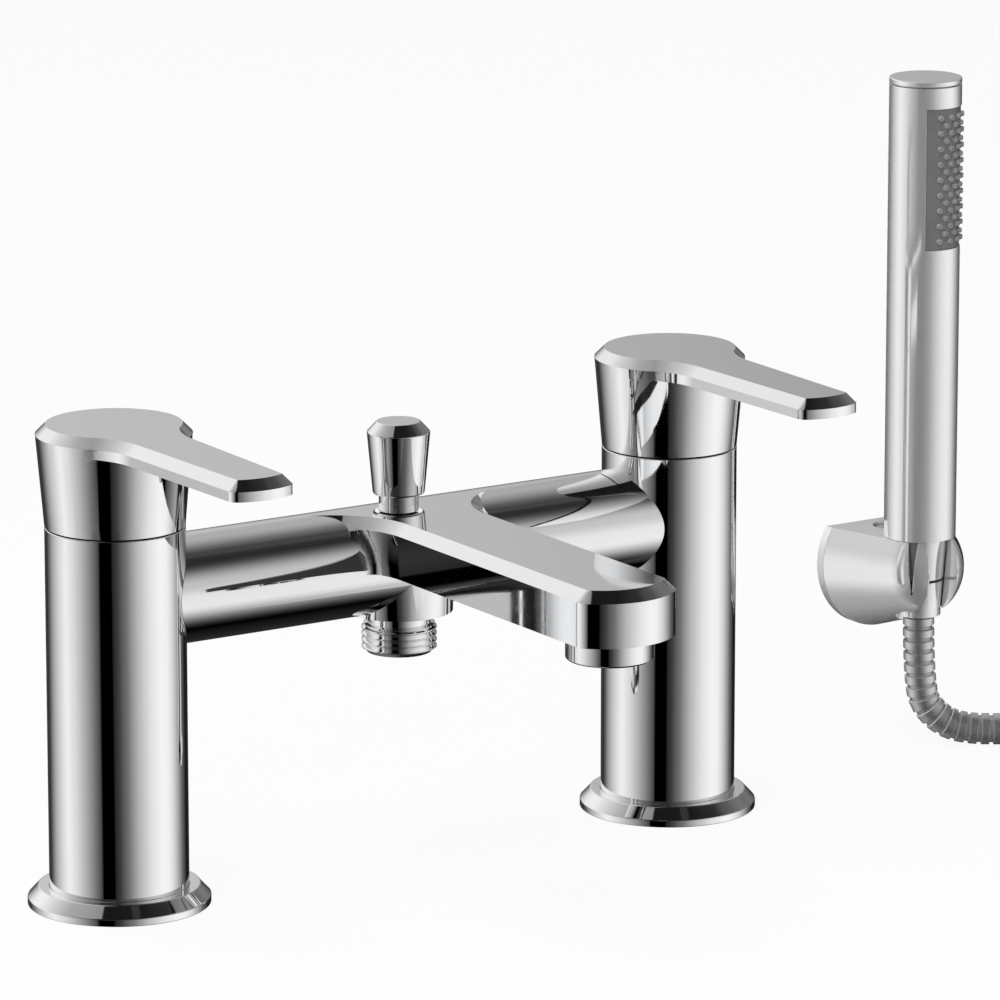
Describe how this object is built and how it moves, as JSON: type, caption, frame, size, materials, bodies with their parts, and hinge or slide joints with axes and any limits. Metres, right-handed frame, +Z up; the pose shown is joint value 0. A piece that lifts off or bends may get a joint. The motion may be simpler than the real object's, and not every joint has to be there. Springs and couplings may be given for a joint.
{
  "type": "bath shower mixer",
  "caption": "Deck-mounted bath filler with twin lever valves, flat spout, pull-up diverter and threaded shower outlet, plus a stick hand shower in a wall bracket with its hose.",
  "frame": {"origin": "on the deck plane, midway between the two pillar axes", "axes": "+X from the left pillar to the right one, +Y to the wall behind, -Y the spout and lever side, +Z up"},
  "size_m": [0.4218, 0.2154, 0.2608],
  "materials": {
    "chrome": "polished chrome plate",
    "brass": "machined, unplated",
    "ceramic": "lapped ceramic",
    "rubber": "matt black seal",
    "steel": "plain steel",
    "dark_plastic": "satin dark grey",
    "white_plastic": "moulded acetal",
    "hose_steel": "bright interlocked hose"
  },
  "bodies": {
    "mixer": {"left_pillar": "chrome", "left_flange": "chrome", "left_base_seal": "rubber", "left_tail": "brass", "left_washer": "steel", "left_backnut": "brass", "left_cartridge": "brass", "left_fixed_disc": "ceramic", "right_pillar": "chrome", "right_flange": "chrome", "right_base_seal": "rubber", "right_tail": "brass", "right_washer": "steel", "right_backnut": "brass", "right_cartridge": "brass", "right_fixed_disc": "ceramic", "cross_body": "chrome", "aerator_housing": "chrome", "aerator_insert": "white_plastic", "aerator_washer": "rubber", "shower_nipple": "chrome", "check_valve": "white_plastic", "diverter_bush": "chrome", "diverter_seal": "rubber", "bracket_body": "chrome", "bracket_left_fork": "chrome", "bracket_right_fork": "chrome", "bracket_plate": "steel", "bracket_screw": "steel", "hose_hanging": "hose_steel", "hose_coil": "hose_steel", "hose_end_nut": "chrome", "hose_end_tailpiece": "brass"},
    "left_handle": {"left_lever": "chrome", "left_lever_screw": "steel", "left_spindle": "brass", "left_moving_disc": "ceramic"},
    "right_handle": {"right_lever": "chrome", "right_lever_screw": "steel", "right_spindle": "brass", "right_moving_disc": "ceramic"},
    "diverter": {"diverter_knob": "chrome", "diverter_stem": "brass", "diverter_lower_washer": "rubber", "diverter_upper_washer": "rubber"},
    "hose_nut": {"hose_cone_nut": "chrome", "hose_washer": "rubber", "hose_tailpiece": "brass"},
    "handset": {"handset_body": "chrome", "handset_cap": "chrome", "spray_strip": "dark_plastic", "spray_manifold": "white_plastic", "handset_shank": "brass"}
  },
  "joints": [
    {"name": "left_lever_turn", "type": "hinge", "parent": "mixer", "child": "left_handle", "pos_m": [-0.09, 0, 0.12], "axis": [0, 0, 1], "range_deg": [-90, 0]},
    {"name": "right_lever_turn", "type": "hinge", "parent": "mixer", "child": "right_handle", "pos_m": [0.09, 0, 0.12], "axis": [0, 0, 1], "range_deg": [0, 90]},
    {"name": "diverter_lift", "type": "slide", "parent": "mixer", "child": "diverter", "axis": [0, 0, 1], "range_m": [0, 0.01]},
    {"name": "handset_lift", "type": "slide", "parent": "mixer", "child": "hose_nut", "axis": [0, 0, 1], "range_m": [0, 0.016]},
    {"name": "handset_spin", "type": "hinge", "parent": "hose_nut", "child": "handset", "pos_m": [0.1881, 0.014, 0.05], "axis": [0, 0, 1], "continuous": true}
  ]
}
